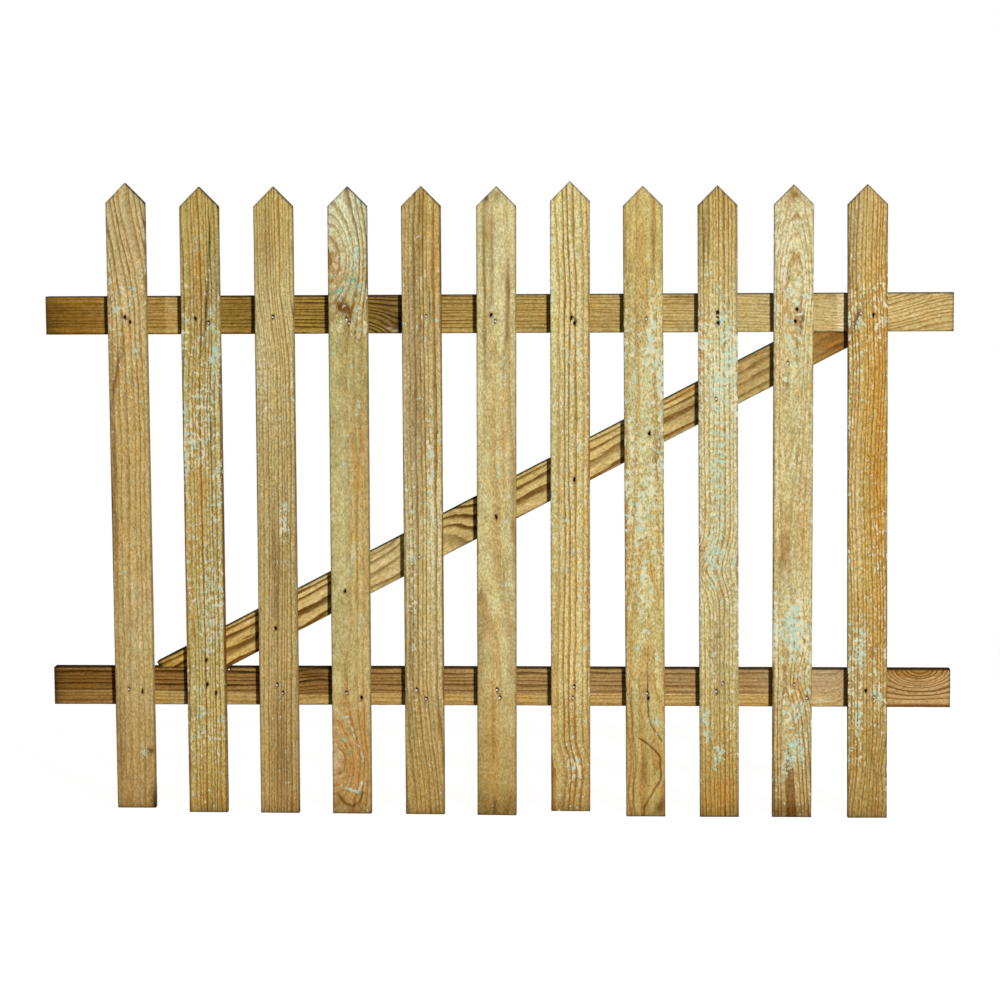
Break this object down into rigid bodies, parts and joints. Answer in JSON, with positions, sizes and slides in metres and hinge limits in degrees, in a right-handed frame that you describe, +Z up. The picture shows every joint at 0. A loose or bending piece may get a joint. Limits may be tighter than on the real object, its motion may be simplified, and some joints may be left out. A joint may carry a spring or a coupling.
{
  "type": "wooden fence panel",
  "caption": "Open picket fence panel of sawn and planed treated softwood: pointed pickets nailed across two rails, with a diagonal brace cut in between the rails.",
  "frame": {"origin": "middle of the lower left post seat, on the back face of the bottom rail, half a lap in from its left end", "axes": "+X along the rails to the right as seen from the front, the pickets face -Y, +Y out of the back towards the posts, +Z up"},
  "size_m": [1.719, 0.046, 1.2117],
  "materials": {
    "picket_timber": "planed, pressure treated, pale green tint",
    "rail_timber": "planed, pressure treated, browner",
    "brace_timber": "planed, pressure treated, ochre"
  },
  "bodies": {
    "root": {"picket_01": "picket_timber", "picket_02": "picket_timber", "picket_03": "picket_timber", "picket_04": "picket_timber", "picket_05": "picket_timber", "picket_06": "picket_timber", "picket_07": "picket_timber", "picket_08": "picket_timber", "picket_09": "picket_timber", "picket_10": "picket_timber", "picket_11": "picket_timber", "top_rail": "rail_timber", "bottom_rail": "rail_timber", "diagonal_brace": "brace_timber"}
  },
  "joints": []
}
